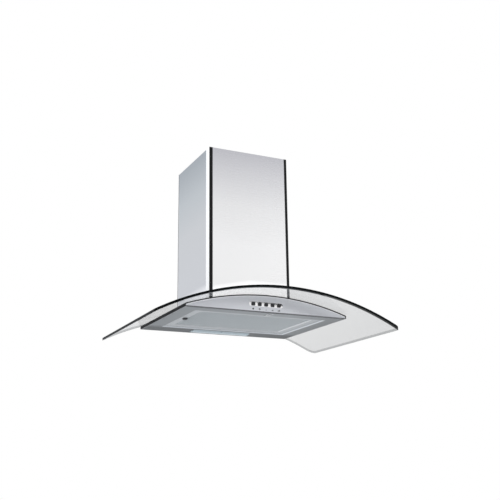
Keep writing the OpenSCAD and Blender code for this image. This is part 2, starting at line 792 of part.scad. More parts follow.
module sleeve_screws() {
    color([0.8, 0.8, 0.82])
    for (sx = [-1, 1], sy = [-1, 1]) {
        xcyl(1.55, sx > 0 ? 150 : -158, sx > 0 ? 158 : -150, cy + sy * 35, chim_top - 14);
        xcyl(3.5, sx > 0 ? 157.5 : -158.3, sx > 0 ? 158.3 : -157.5, cy + sy * 35, chim_top - 14);
    }
}

glass_canopy();
glass_seal();
glass_pads();
glass_fasteners();
body_shell();
fascia();
bottom_frame();
control_bezel();
function_marks();
button_light();
button_off();
button_low();
button_medium();
button_high();
switch_block();
filter_frame();
filter_mesh();
filter_pins();
filter_latch();
filter_pull();
lamp_reflector();
lamp_holders();
lamp_bulbs();
lamp_cover_left();
lamp_cover_right();
throat_collar();
blower_deck();
blower_box();
blower_lid();
volute_left();
volute_right();
outlet_transition();
motor_housing();
motor_stator();
motor_rotor();
motor_shaft();
motor_bracket();
motor_bushes();
fan_wheel();
outlet_collar();
collar_screws();
flap_pin();
flap_front();
flap_rear();
capacitor();
terminal_box();
cable_gland();
wiring_loom();
lower_posts();
post_bolts();
upper_posts();
ceiling_plate();
chimney_front();
chimney_rear();
chimney_side_left();
chimney_side_right();
chimney_trims();
chimney_strips();
upper_sleeve();
sleeve_screws();
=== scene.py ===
import bpy, bmesh, math
from mathutils import Vector, Matrix
from mathutils.bvhtree import BVHTree


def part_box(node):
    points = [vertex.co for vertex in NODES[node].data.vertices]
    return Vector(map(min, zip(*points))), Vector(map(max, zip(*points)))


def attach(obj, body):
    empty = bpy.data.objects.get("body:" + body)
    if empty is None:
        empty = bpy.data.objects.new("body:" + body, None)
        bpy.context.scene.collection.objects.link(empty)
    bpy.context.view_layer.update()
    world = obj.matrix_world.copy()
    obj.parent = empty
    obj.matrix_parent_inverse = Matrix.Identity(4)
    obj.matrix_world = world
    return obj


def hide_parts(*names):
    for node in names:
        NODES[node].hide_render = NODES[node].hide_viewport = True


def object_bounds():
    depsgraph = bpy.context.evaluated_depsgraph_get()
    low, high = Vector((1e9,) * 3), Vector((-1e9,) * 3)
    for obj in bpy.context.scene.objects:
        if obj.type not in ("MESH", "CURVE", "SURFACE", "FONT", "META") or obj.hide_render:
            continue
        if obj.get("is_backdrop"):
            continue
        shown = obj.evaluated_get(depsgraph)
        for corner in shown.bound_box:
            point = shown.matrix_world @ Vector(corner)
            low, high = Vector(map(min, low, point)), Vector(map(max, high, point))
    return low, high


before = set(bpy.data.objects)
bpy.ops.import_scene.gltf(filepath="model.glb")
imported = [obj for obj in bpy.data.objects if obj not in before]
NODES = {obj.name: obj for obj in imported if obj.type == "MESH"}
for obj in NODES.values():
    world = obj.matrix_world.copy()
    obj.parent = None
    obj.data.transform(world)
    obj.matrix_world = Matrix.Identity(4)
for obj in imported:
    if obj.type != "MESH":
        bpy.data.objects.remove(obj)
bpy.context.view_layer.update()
scene = bpy.context.scene
scene.view_settings.view_transform = "Standard"
scene.view_settings.look = "None"
scene.view_settings.exposure = 0.0
scene.view_settings.gamma = 1.0

# ------------------------------------------------------------------ camera
RIGHT = Vector((0.9030676, -0.4293243, -0.0122245)).normalized()
FORWARD = Vector((0.4165061, 0.8684475, 0.2689268)).normalized()
UP = RIGHT.cross(FORWARD).normalized()
cam_data = bpy.data.cameras.new("camera")
cam = bpy.data.objects.new("camera", cam_data)
scene.collection.objects.link(cam)
cam_data.lens = 58.688
cam_data.sensor_width = 36.0
cam_data.clip_start = 0.05
cam_data.clip_end = 60.0
cam_data.dof.use_dof = False
m = Matrix((
    (RIGHT.x, UP.x, -FORWARD.x, -1.2427072),
    (RIGHT.y, UP.y, -FORWARD.y, -2.6328926),
    (RIGHT.z, UP.z, -FORWARD.z, -0.49223),
    (0, 0, 0, 1)))
cam.matrix_world = m
scene.camera = cam


# ------------------------------------------------------------------ material kit
def new_mat(name):
    mt = bpy.data.materials.new(name)
    mt.use_nodes = True
    nt = mt.node_tree
    for n in list(nt.nodes):
        nt.nodes.remove(n)
    out = nt.nodes.new("ShaderNodeOutputMaterial")
    bsdf = nt.nodes.new("ShaderNodeBsdfPrincipled")
    nt.links.new(bsdf.outputs["BSDF"], out.inputs["Surface"])
    return mt, nt, bsdf


def coords(nt, scale=(1, 1, 1), loc=(0, 0, 0)):
    tc = nt.nodes.new("ShaderNodeTexCoord")
    mp = nt.nodes.new("ShaderNodeMapping")
    mp.inputs["Scale"].default_value = scale
    mp.inputs["Location"].default_value = loc
    nt.links.new(tc.outputs["Object"], mp.inputs["Vector"])
    return mp.outputs["Vector"]


def noise(nt, scale, s=1.0, detail=3.0, rough=0.5, loc=(0, 0, 0), distortion=0.0):
    n = nt.nodes.new("ShaderNodeTexNoise")
    n.inputs["Scale"].default_value = s
    n.inputs["Detail"].default_value = detail
    n.inputs["Roughness"].default_value = rough
    n.inputs["Distortion"].default_value = distortion
    nt.links.new(coords(nt, scale, loc), n.inputs["Vector"])
    return n.outputs["Fac"]


def ramp(nt, fac, stops):
    r = nt.nodes.new("ShaderNodeValToRGB")
    el = r.color_ramp.elements
    while len(el) < len(stops):
        el.new(0.5)
    for e, (p, c) in zip(el, stops):
        e.position = p
        e.color = (c[0], c[1], c[2], 1.0) if hasattr(c, "__len__") else (c, c, c, 1.0)
    nt.links.new(fac, r.inputs["Fac"])
    return r.outputs["Color"]


def rng(nt, v, a, b, c, d):
    r = nt.nodes.new("ShaderNodeMapRange")
    r.clamp = True
    for k, x in zip(("From Min", "From Max", "To Min", "To Max"), (a, b, c, d)):
        r.inputs[k].default_value = x
    nt.links.new(v, r.inputs["Value"])
    return r.outputs["Result"]


def math_(nt, op, a, b=None, clamp=False):
    n = nt.nodes.new("ShaderNodeMath")
    n.operation = op
    n.use_clamp = clamp
    for i, v in enumerate((a, b)):
        if v is None:
            continue
        if isinstance(v, (int, float)):
            n.inputs[i].default_value = v
        else:
            nt.links.new(v, n.inputs[i])
    return n.outputs[0]


def mix(nt, fac, a, b, kind="MIX"):
    n = nt.nodes.new("ShaderNodeMix")
    n.data_type = "RGBA"
    n.blend_type = kind
    f, ia, ib = n.inputs[0], n.inputs[6], n.inputs[7]
    for s, v in ((f, fac), (ia, a), (ib, b)):
        if isinstance(v, (int, float)):
            s.default_value = v if s is f else (v, v, v, 1)
        elif isinstance(v, tuple):
            s.default_value = (*v, 1.0)
        else:
            nt.links.new(v, s)
    return n.outputs[2]


def bump(nt, h, strength, distance, prev=None):
    b = nt.nodes.new("ShaderNodeBump")
    b.inputs["Strength"].default_value = strength
    b.inputs["Distance"].default_value = distance
    nt.links.new(h, b.inputs["Height"])
    if prev is not None:
        nt.links.new(prev, b.inputs["Normal"])
    return b.outputs["Normal"]


def edge_mask(nt, radius, samples=4):
    """1 on worn edges: where the rounded normal leaves the true one."""
    bv = nt.nodes.new("ShaderNodeBevel")
    bv.samples = samples
    bv.inputs["Radius"].default_value = radius
    ge = nt.nodes.new("ShaderNodeNewGeometry")
    d = nt.nodes.new("ShaderNodeVectorMath")
    d.operation = "DOT_PRODUCT"
    nt.links.new(bv.outputs["Normal"], d.inputs[0])
    nt.links.new(ge.outputs["Normal"], d.inputs[1])
    return rng(nt, d.outputs["Value"], 0.995, 0.86, 0.0, 1.0), bv.outputs["Normal"]


def object_z(nt, axis=2):
    tc = nt.nodes.new("ShaderNodeTexCoord")
    sp = nt.nodes.new("ShaderNodeSeparateXYZ")
    nt.links.new(tc.outputs["Object"], sp.inputs[0])
    return sp.outputs[axis]


def metal(name, base, rough=0.3, grain=(4, 4, 900), grain2=None, var=0.05, bump_s=0.05,
          edge=0.0, painted_light_ramp=None, metallic=1.0, smudge=0.04, brushed=0.06):
    """Sheet metal: fine stretched grain in colour, roughness and bump, and a soft handled unevenness."""
    mt, nt, b = new_mat(name)
    g = noise(nt, grain, 1.0, 4.0, 0.62)
    big = noise(nt, (3.1, 3.1, 2.3), 1.0, 3.0, 0.5, (4.1, 1.7, 0.3))
    col = ramp(nt, g, [(0.25, tuple(c * (1 - var) for c in base)), (0.75, tuple(min(1, c * (1 + var)) for c in base))])
    col = mix(nt, 1.0, col, ramp(nt, big, [(0.3, 1 - smudge), (0.7, 1.0)]), "MULTIPLY")
    # optional painted light: a colour ramp multiplied into the base colour
    if painted_light_ramp is not None:
        col = mix(nt, 1.0, col, painted_light_ramp(nt), "MULTIPLY")
    nrm = None
    if edge:
        em, nrm = edge_mask(nt, edge)
        col = mix(nt, math_(nt, "MULTIPLY", em, 0.35), col, tuple(min(1, c * 1.25 + 0.1) for c in base))
    nt.links.new(col, b.inputs["Base Color"])
    b.inputs["Metallic"].default_value = metallic
    r1 = rng(nt, g, 0.25, 0.75, rough - brushed, rough + brushed)
    r2 = rng(nt, big, 0.3, 0.7, -0.04, 0.04)
    nt.links.new(math_(nt, "ADD", r1, r2, True), b.inputs["Roughness"])
    nrm = bump(nt, g, bump_s, 0.0004, nrm)
    nt.links.new(nrm, b.inputs["Normal"])
    return mt


def plastic(name, base, rough=0.4, texture=900, var=0.12, bump_s=0.12, edge=0.0006, wear=(0.25, 0.25, 0.26), spec=0.5,
            coat=0.0, sss=0.0):
    mt, nt, b = new_mat(name)
    g = noise(nt, (texture,) * 3, 1.0, 3.0, 0.55)
    big = noise(nt, (14, 14, 14), 1.0, 3.0, 0.5, (2.0, 7.0, 1.0))
    col = ramp(nt, big, [(0.3, tuple(c * (1 - var) for c in base)), (0.7, tuple(min(1, c * (1 + var)) for c in base))])
    nrm = None
    if edge:
        em, nrm = edge_mask(nt, edge)
        col = mix(nt, math_(nt, "MULTIPLY", em, 0.4), col, wear)
    nt.links.new(col, b.inputs["Base Color"])
    nt.links.new(math_(nt, "ADD", rng(nt, g, 0.3, 0.7, rough - 0.06, rough + 0.06), rng(nt, big, 0.3, 0.7, -0.03, 0.03), True),
                 b.inputs["Roughness"])
    b.inputs["Specular IOR Level"].default_value = spec
    if coat:
        b.inputs["Coat Weight"].default_value = coat
        b.inputs["Coat Roughness"].default_value = 0.08
    nt.links.new(bump(nt, g, bump_s, 0.0003, nrm), b.inputs["Normal"])
    return mt


# ------------------------------------------------------------------ materials
# painted light: a base-colour ramp by object height
def painted_height_light(stops, z0, z1):
    def f(nt):
        return ramp(nt, rng(nt, object_z(nt), z0, z1, 0.0, 1.0), stops)
    return f


# painted light on the chimney: the base colour is ramped by height, palest at the foot by the canopy and darker towards
# the top, with a bluer top on the sides
STEEL_FRONT = metal("steel_chimney_front", (0.95, 0.95, 0.955), 0.30, (2.5, 2.5, 1400), var=0.012, bump_s=0.02, smudge=0.015, brushed=0.03,
                    painted_light_ramp=painted_height_light([(0.0, (1.0, 1.0, 0.99)), (0.35, (0.985, 0.985, 0.985)), (0.62, (0.90, 0.90, 0.905)),
                                 (0.86, (0.72, 0.72, 0.745)), (1.0, (0.60, 0.60, 0.635))], 0.12, 0.69))
STEEL_REAR = metal("steel_chimney_rear", (0.93, 0.93, 0.935), 0.31, (2.5, 2.5, 1400), var=0.014, bump_s=0.025, smudge=0.02, brushed=0.03,
                   painted_light_ramp=painted_height_light([(0.0, (0.97, 0.97, 0.98)), (0.55, (0.93, 0.93, 0.935)), (1.0, (0.66, 0.67, 0.69))], 0.12, 0.69))
STEEL_SIDE = metal("steel_chimney_side", (0.97, 0.97, 0.975), 0.32, (2.5, 2.5, 1400), var=0.012, bump_s=0.02, smudge=0.015, brushed=0.03,
                   painted_light_ramp=painted_height_light([(0.0, (0.97, 0.97, 0.99)), (0.5, (0.95, 0.955, 0.965)), (0.75, (0.82, 0.855, 0.875)),
                                (1.0, (0.60, 0.64, 0.675))], 0.12, 0.69))
# painted shade: the fascia steel gets a darker base colour than the chimney steel
STEEL_FASCIA = metal("steel_fascia", (0.700, 0.717, 0.757), 0.34, (2.5, 2.5, 1600), var=0.02, bump_s=0.03, smudge=0.02, brushed=0.04)
STEEL_BODY = metal("steel_body", (0.66, 0.67, 0.69), 0.36, (3, 1500, 3), var=0.035, bump_s=0.05)


def painted_under_light(nt):
    """Painted light and shade on the underside: the flat flange is shaded darker on the left and towards the rear,
    darkest at the lamp end and towards the right end; the sloping rim round the filter gets a painted highlight.
    """
    tcn = nt.nodes.new("ShaderNodeTexCoord")
    spn = nt.nodes.new("ShaderNodeSeparateXYZ")
    nt.links.new(tcn.outputs["Object"], spn.inputs[0])
    t = math_(nt, "ADD", rng(nt, spn.outputs[0], -0.305, 0.305, 0.0, 0.62), rng(nt, spn.outputs[1], -0.19, 0.1, 0.12, 0.0))
    flat = ramp(nt, t, [(0.0, (0.63, 0.64, 0.645)), (0.45, (0.79, 0.795, 0.80)), (1.0, (0.93, 0.93, 0.93))])
    flat = mix(nt, 1.0, flat, ramp(nt, rng(nt, spn.outputs[1], 0.17, 0.215, 0.0, 1.0), [(0.0, 1.0), (1.0, 0.36)]), "MULTIPLY")
    flat = mix(nt, 1.0, flat, ramp(nt, rng(nt, spn.outputs[0], 0.10, 0.29, 0.0, 1.0), [(0.0, 1.0), (1.0, 0.64)]), "MULTIPLY")
    ge = nt.nodes.new("ShaderNodeNewGeometry")
    sn = nt.nodes.new("ShaderNodeSeparateXYZ")
    nt.links.new(ge.outputs["True Normal"], sn.inputs[0])
    az = math_(nt, "ABSOLUTE", sn.outputs[2])
    slope = math_(nt, "MULTIPLY", math_(nt, "LESS_THAN", az, 0.97), math_(nt, "GREATER_THAN", az, 0.15))
    # painted highlight on the sloping rim: base colour above 1
    return mix(nt, slope, flat, (1.56, 1.56, 1.57))


STEEL_UNDER = metal("steel_under", (0.44, 0.46, 0.475), 0.42, (2.5, 1500, 3), var=0.04, bump_s=0.05, painted_light_ramp=painted_under_light)

def painted_glow_strip():
    mt, nt, b = new_mat("satin_corner_strip_painted_glow")
    g = noise(nt, (3, 3, 1300), 1.0, 3.0, 0.6)
    nt.links.new(ramp(nt, g, [(0.3, (0.95, 0.955, 0.96)), (0.7, (0.99, 0.99, 0.99))]), b.inputs["Base Color"])
    b.inputs["Metallic"].default_value = 0.1
    nt.links.new(rng(nt, g, 0.3, 0.7, 0.22, 0.30), b.inputs["Roughness"])
    # painted highlight: the satin strip glows (emission) so it reads white
    b.inputs["Emission Color"].default_value = (1, 1, 1, 1)
    b.inputs["Emission Strength"].default_value = 0.32
    nt.links.new(bump(nt, g, 0.03, 0.0003), b.inputs["Normal"])
    return mt


STRIP = painted_glow_strip()
BRIGHT = metal("polished_steel", (0.93, 0.93, 0.94), 0.14, (3, 3, 1200), var=0.015, bump_s=0.02, brushed=0.04)
ALU = metal("anodised_aluminium", (0.545, 0.565, 0.58), 0.42, (2.5, 1300, 3), var=0.04, bump_s=0.06)
MESHMAT = metal("mesh_aluminium", (0.655, 0.685, 0.70), 0.40, (700, 700, 700), var=0.10, bump_s=0.15)


def galvanised():
    mt, nt, b = new_mat("galvanised_sheet")
    v = nt.nodes.new("ShaderNodeTexVoronoi")
    v.inputs["Scale"].default_value = 1.0
    nt.links.new(coords(nt, (95, 95, 95)), v.inputs["Vector"])
    sp = nt.nodes.new("ShaderNodeSeparateColor")
    nt.links.new(v.outputs["Color"], sp.inputs[0])
    col = ramp(nt, sp.outputs[0], [(0.0, (0.50, 0.52, 0.54)), (0.5, (0.60, 0.62, 0.64)), (1.0, (0.72, 0.73, 0.75))])
    n = noise(nt, (6, 6, 6), 1.0, 4.0, 0.6)
    col = mix(nt, 1.0, col, ramp(nt, n, [(0.3, 0.86), (0.7, 1.0)]), "MULTIPLY")
    nt.links.new(col, b.inputs["Base Color"])
    b.inputs["Metallic"].default_value = 1.0
    nt.links.new(rng(nt, sp.outputs[1], 0, 1, 0.34, 0.52), b.inputs["Roughness"])
    nt.links.new(bump(nt, sp.outputs[2], 0.05, 0.0004), b.inputs["Normal"])
    return mt


GALV = galvanised()
FAST = metal("zinc_fastener", (0.74, 0.75, 0.76), 0.28, (300, 300, 1500), var=0.06, bump_s=0.1, edge=0.0005)
SHAFT = metal("ground_steel", (0.78, 0.78, 0.79), 0.18, (1800, 20, 20), var=0.03, bump_s=0.04)
ROTOR = metal("rotor_laminations", (0.42, 0.42, 0.43), 0.45, (2400, 5, 5), var=0.22, bump_s=0.35)
SEAL = plastic("rubber_seal", (0.014, 0.014, 0.015), 0.55, 500, var=0.2, bump_s=0.2, edge=0.0, spec=0.2)
BLACK = plastic("black_trim", (0.004, 0.0045, 0.005), 0.30, 350, var=0.2, bump_s=0.02, edge=0.0006, wear=(0.03, 0.03, 0.032), spec=0.18)
BUTTON = plastic("button_plastic", (0.014, 0.015, 0.018), 0.32, 1400, var=0.2, bump_s=0.10, edge=0.0007, wear=(0.11, 0.11, 0.12))
BLACKP = plastic("moulded_black", (0.028, 0.029, 0.031), 0.46, 900, var=0.2, bump_s=0.2, edge=0.0008, wear=(0.12, 0.12, 0.12))
WHITEP = plastic("moulded_white", (0.80, 0.80, 0.78), 0.42, 900, var=0.04, bump_s=0.1, edge=0.0008, wear=(0.9, 0.9, 0.88))
MARK = plastic("printed_mark", (0.05, 0.052, 0.058), 0.55, 1500, var=0.1, bump_s=0.05, edge=0.0)
CERAMIC = plastic("ceramic", (0.86, 0.85, 0.81), 0.3, 400, var=0.03, bump_s=0.05, edge=0.0008, wear=(0.92, 0.91, 0.88), spec=0.55)
COPPERM = metal("enamelled_winding", (0.62, 0.28, 0.12), 0.34, (1500, 60, 60), var=0.22, bump_s=0.6)
REFLECT = metal("lamp_reflector", (0.88, 0.89, 0.90), 0.22, (900, 4, 4), var=0.03, bump_s=0.08)


def bulb_glass():
    mt, nt, b = new_mat("opal_bulb")
    n = noise(nt, (120, 120, 120), 1.0, 2.0, 0.5)
    nt.links.new(ramp(nt, n, [(0.3, (0.90, 0.92, 0.95)), (0.7, (0.97, 0.98, 1.0))]), b.inputs["Base Color"])
    nt.links.new(rng(nt, n, 0.3, 0.7, 0.12, 0.22), b.inputs["Roughness"])
    b.inputs["Emission Color"].default_value = (0.92, 0.96, 1.0, 1.0)
    b.inputs["Emission Strength"].default_value = 1.2
    nt.links.new(bump(nt, n, 0.03, 0.0003), b.inputs["Normal"])
    return mt


def cover_mat():
    """Ribbed opal cover: fine prism ribs across the length, with the lamps glowing behind."""
    mt, nt, b = new_mat("ribbed_cover")
    w = nt.nodes.new("ShaderNodeTexWave")
    w.wave_type = "BANDS"
    w.bands_direction = "X"
    w.inputs["Scale"].default_value = 1.0
    w.inputs["Distortion"].default_value = 0.0
    nt.links.new(coords(nt, (110, 1, 1)), w.inputs["Vector"])
    n = noise(nt, (30, 30, 30), 1.0, 3.0, 0.5)
    nt.links.new(ramp(nt, n, [(0.3, (0.38, 0.45, 0.485)), (0.7, (0.44, 0.515, 0.55))]), b.inputs["Base Color"])
    nt.links.new(rng(nt, w.outputs["Fac"], 0, 1, 0.18, 0.30), b.inputs["Roughness"])
    b.inputs["Transmission Weight"].default_value = 0.10
    b.inputs["Specular IOR Level"].default_value = 0.15
    b.inputs["IOR"].default_value = 1.30
    b.inputs["Emission Color"].default_value = (0.80, 0.92, 1.0, 1.0)
    b.inputs["Emission Strength"].default_value = 0.10
    nt.links.new(bump(nt, w.outputs["Fac"], 0.25, 0.0008), b.inputs["Normal"])
    return mt


BULB = bulb_glass()
COVER = cover_mat()


# painted highlight: a bright line along the middle of each lamp cover, the base colour raised up to twice by a ramp
# across the cover
cy_ = [v.co.y for v in NODES["lamp_cover_left"].data.vertices]
cb_ = next(n for n in COVER.node_tree.nodes if n.type == "BSDF_PRINCIPLED")
cc_ = COVER.node_tree.nodes.new("ShaderNodeTexCoord")
cs_ = COVER.node_tree.nodes.new("ShaderNodeSeparateXYZ")
COVER.node_tree.links.new(cc_.outputs["Object"], cs_.inputs[0])
ct_ = rng(COVER.node_tree, cs_.outputs[1], min(cy_), max(cy_), 0.0, 1.0)
cover_painted_highlight = ramp(COVER.node_tree, ct_, [(0.0, (0.85, 0.85, 0.85)), (0.35, (1.0, 1.0, 1.0)), (0.52, (2.0, 1.85, 1.78)), (0.75, (1.0, 1.0, 1.0)), (1.0, (0.8, 0.8, 0.8))])
COVER.node_tree.links.new(mix(COVER.node_tree, 1.0, cb_.inputs["Base Color"].links[0].from_socket, cover_painted_highlight, "MULTIPLY"), cb_.inputs["Base Color"])
PULL = metal("pull_strip", (0.97, 0.97, 0.97), 0.22, (900, 900, 3), var=0.02, bump_s=0.02)
# painted light: the chimney sides glow (emission) at their foot just above the canopy
painted_foot_glow_side = rng(STEEL_SIDE.node_tree, object_z(STEEL_SIDE.node_tree), 0.115, 0.178, 0.55, 0.0)
sb_ = next(n for n in STEEL_SIDE.node_tree.nodes if n.type == "BSDF_PRINCIPLED")
sb_.inputs["Emission Color"].default_value = (1, 1, 1, 1)
STEEL_SIDE.node_tree.links.new(painted_foot_glow_side, sb_.inputs["Emission Strength"])
FINISH = {
    "glass_canopy": SEAL, "glass_seal": SEAL, "glass_pads": SEAL, "glass_fasteners": FAST,
    "body_shell": STEEL_BODY, "fascia": STEEL_FASCIA, "bottom_frame": STEEL_UNDER, "control_bezel": BRIGHT,
    "function_marks": MARK, "button_light": BUTTON, "button_off": BUTTON, "button_low": BUTTON,
    "button_medium": BUTTON, "button_high": BUTTON, "switch_block": BLACKP, "filter_frame": ALU,
    "filter_mesh": MESHMAT, "filter_pins": SHAFT, "filter_latch": BLACKP, "filter_pull": PULL,
    "lamp_reflector": REFLECT, "lamp_holders": CERAMIC, "lamp_bulbs": BULB, "lamp_cover_left": COVER,
    "lamp_cover_right": COVER, "throat_collar": GALV, "blower_deck": GALV, "blower_box": GALV, "blower_lid": GALV,
    "volute_left": BLACKP, "volute_right": BLACKP, "outlet_transition": BLACKP, "motor_housing": ALU,
    "motor_stator": COPPERM, "motor_rotor": ROTOR, "motor_shaft": SHAFT, "motor_bracket": GALV,
    "motor_bushes": SEAL, "fan_wheel": BLACKP, "outlet_collar": BLACKP, "collar_screws": FAST, "flap_pin": SHAFT,
    "flap_front": BLACKP, "flap_rear": BLACKP, "capacitor": WHITEP, "terminal_box": WHITEP, "cable_gland": BLACKP,
    "wiring_loom": BLACKP, "lower_posts": GALV, "post_bolts": FAST, "upper_posts": GALV, "ceiling_plate": GALV,
    "chimney_front": STEEL_FRONT, "chimney_rear": STEEL_REAR, "chimney_side_left": STEEL_SIDE,
    "chimney_side_right": STEEL_SIDE, "chimney_trims": BLACK, "chimney_strips": STRIP, "upper_sleeve": STEEL_REAR,
    "sleeve_screws": FAST,
}
for name, ob in NODES.items():
    mt = FINISH[name]
    if len(ob.material_slots) == 0:
        ob.data.materials.append(mt)
    for s in ob.material_slots:
        s.link = "OBJECT"
        s.material = mt

# painted light: the chimney front glows (emission) at its foot just above the canopy, standing in for light that comes
# through the glass; the glow stops lower at the left end
def painted_foot_glow(mt):
    nt = mt.node_tree
    b = [n for n in nt.nodes if n.type == "BSDF_PRINCIPLED"][0]
    b.inputs["Emission Color"].default_value = (1, 1, 1, 1)
    fco = nt.nodes.new("ShaderNodeTexCoord")
    fsp = nt.nodes.new("ShaderNodeSeparateXYZ")
    nt.links.new(fco.outputs["Object"], fsp.inputs[0])
    level = math_(nt, "ADD", fsp.outputs[2], rng(nt, fsp.outputs[0], -0.16, 0.0, 0.035, 0.0))
    nt.links.new(rng(nt, level, 0.176, 0.200, 0.34, 0.0), b.inputs["Emission Strength"])


painted_foot_glow(STEEL_FRONT)

# ------------------------------------------------------------------ detail pieces
def piece(name, verts, faces, mat, body, smooth=True, replaces=()):
    me = bpy.data.meshes.new(name)
    me.from_pydata(verts, [], faces)
    me.validate()
    bm = bmesh.new()
    bm.from_mesh(me)
    bmesh.ops.remove_doubles(bm, verts=bm.verts, dist=1e-6)
    bmesh.ops.recalc_face_normals(bm, faces=bm.faces)
    bm.to_mesh(me)
    bm.free()
    ob = bpy.data.objects.new(name, me)
    scene.collection.objects.link(ob)
    ob.data.materials.append(mat)
    if smooth:
        me.polygons.foreach_set("use_smooth", [True] * len(me.polygons))
    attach(ob, body)
    if replaces:
        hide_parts(*replaces)
    return ob


def sweep(path, frames, profile, closed_path=False):
    """profile: list of (a, b); frames: per path point (axis_a, axis_b). Returns verts, faces of a closed tube."""
    verts, faces = [], []
    n = len(profile)
    for p, (ua, ub) in zip(path, frames):
        for a, b in profile:
            verts.append(tuple(Vector(p) + Vector(ua) * a + Vector(ub) * b))
    m_ = len(path)
    for i in range(m_ - (0 if closed_path else 1)):
        j = (i + 1) % m_
        for k in range(n):
            l = (k + 1) % n
            faces.append((i * n + k, j * n + k, j * n + l, i * n + l))
    if not closed_path:
        faces.append(tuple(range(n)))
        faces.append(tuple((m_ - 1) * n + k for k in reversed(range(n))))
    return verts, faces


# the canopy: toughened glass with ground and arrised edges; their darkness is painted shade: the front and left edge
# faces and a band beside them are painted dark, the back and right edge faces pale
def glass_mat():
    mt, nt, b = new_mat("toughened_glass")
    n = noise(nt, (2.2, 2.2, 2.2), 1.0, 3.0, 0.5)
    nt.links.new(ramp(nt, n, [(0.3, (0.27, 0.285, 0.29)), (0.7, (0.31, 0.325, 0.33))]), b.inputs["Base Color"])
    nt.links.new(rng(nt, noise(nt, (40, 40, 40), 1.0, 3.0, 0.6, (1, 2, 3)), 0.35, 0.7, 0.01, 0.035), b.inputs["Roughness"])
    co = nt.nodes.new("ShaderNodeTexCoord")
    sp = nt.nodes.new("ShaderNodeSeparateXYZ")
    nt.links.new(co.outputs["Object"], sp.inputs[0])
    # painted shade: a dark band along the front and left edges of the glass faces
    band = math_(nt, "MAXIMUM", rng(nt, sp.outputs[1], -0.2990, -0.2982, 1.0, 0.0), rng(nt, sp.outputs[0], -0.4420, -0.4412, 1.0, 0.0))
    base = b.inputs["Base Color"].links[0].from_socket
    nt.links.new(mix(nt, band, base, (0.0015, 0.002, 0.002)), b.inputs["Base Color"])
    nt.links.new(rng(nt, band, 0.0, 1.0, 0.25, 1.0), b.inputs["Alpha"])
    nt.links.new(rng(nt, band, 0.0, 1.0, 1.0, 0.08), b.inputs["Specular IOR Level"])
    b.inputs["IOR"].default_value = 1.5
    nt.links.new(bump(nt, noise(nt, (5, 5, 5), 1.0, 2.0, 0.5), 0.01, 0.002), b.inputs["Normal"])
    return mt


def glass_edge_mat(name, a, c, spec, alpha):
    mt, nt, b = new_mat(name)
    n = noise(nt, (160, 160, 900), 1.0, 3.0, 0.6)
    nt.links.new(ramp(nt, n, [(0.3, a), (0.7, c)]), b.inputs["Base Color"])
    nt.links.new(rng(nt, n, 0.3, 0.7, 0.22, 0.38), b.inputs["Roughness"])
    b.inputs["Specular IOR Level"].default_value = spec
    b.inputs["Alpha"].default_value = alpha
    nt.links.new(bump(nt, n, 0.04, 0.0002), b.inputs["Normal"])
    return mt


src = NODES["glass_canopy"]
gme = src.data.copy()
gme.name = "canopy_glass"
gme.materials.clear()
for mt_ in (glass_mat(), glass_edge_mat("glass_edge_painted_dark", (0.001, 0.002, 0.002), (0.004, 0.006, 0.006), 0.06, 1.0),
            glass_edge_mat("glass_edge_painted_pale", (0.10, 0.115, 0.115), (0.15, 0.17, 0.17), 0.4, 0.55)):
    gme.materials.append(mt_)
bm = bmesh.new()
bm.from_mesh(gme)
bmesh.ops.remove_doubles(bm, verts=bm.verts, dist=2e-6)
bmesh.ops.recalc_face_normals(bm, faces=bm.faces)
for f in bm.faces:
    n = f.normal
    # painted shade: the front and left edge faces get the dark copy, the back and right ones the pale copy
    f.material_index = 0 if abs(n.z) > 0.35 else (1 if (n.x < -0.25 or n.y < -0.25) else 2)
    f.smooth = True
for e in bm.edges:
    if len(e.link_faces) == 2 and e.calc_face_angle(0) > 0.6:
        e.smooth = False
bm.to_mesh(gme)
bm.free()
for k in list(gme.attributes):
    if k.name == "custom_normal":
        gme.attributes.remove(k)
glass = bpy.data.objects.new("canopy_glass_panel", gme)
scene.collection.objects.link(glass)
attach(glass, "hood")
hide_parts("glass_canopy")
bv = glass.modifiers.new("arris", "BEVEL")
bv.width = 0.0011
bv.segments = 2
bv.limit_method = "ANGLE"
bv.angle_limit = math.radians(50)

# expanded aluminium mesh of the grease filter: rows of zigzag strands that meet at their knuckles
lo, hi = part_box("filter_mesh")
PITCH, ROW, WIRE_W, WIRE_T = 0.0078, 0.0044, 0.00105, 0.0009
x0, x1, y0, y1 = lo.x + 0.0006, hi.x - 0.0006, lo.y + 0.0012, hi.y - 0.0012
zb = lo.z + 0.0008
verts, faces = [], []
rows = int((y1 - y0) / ROW)
cols = int((x1 - x0) / (PITCH / 2))
for r in range(rows + 1):
    yc = y0 + r * ROW
    path, fr = [], []
    for c in range(cols + 1):
        up = 1 if (c + r) % 2 else -1
        path.append((x0 + c * PITCH / 2, min(max(yc + up * ROW * 0.5, y0), y1), zb + 0.0003 * up))
        fr.append(((0, 1, 0.35), (0, -0.35, 1)))
    v, f = sweep(path, fr, [(-WIRE_W / 2, -WIRE_T / 2), (WIRE_W / 2, -WIRE_T / 2), (WIRE_W / 2, WIRE_T / 2), (-WIRE_W / 2, WIRE_T / 2)])
    o = len(verts)
    verts += v
    faces += [tuple(i + o for i in q) for q in f]
piece("filter_expanded_mesh", verts, faces, MESHMAT, "filter_panel", smooth=False, replaces=("filter_mesh",))
# the finer layers behind it, gently pleated
verts, faces = [], []
NX, NY = 110, 40
for j in range(NY + 1):
    for i in range(NX + 1):
        x = x0 + (x1 - x0) * i / NX
        y = y0 + (y1 - y0) * j / NY
        verts.append((x, y, zb + 0.0022 + 0.00035 * math.sin(i * math.pi / 2.0)))
for j in range(NY):
    for i in range(NX):
        a = j * (NX + 1) + i
        faces.append((a, a + 1, a + NX + 2, a + NX + 1))
back = piece("filter_fine_layers", verts, faces, MESHMAT, "filter_panel")
so = back.modifiers.new("thickness", "SOLIDIFY")
so.thickness = 0.0008
so.offset = 1.0

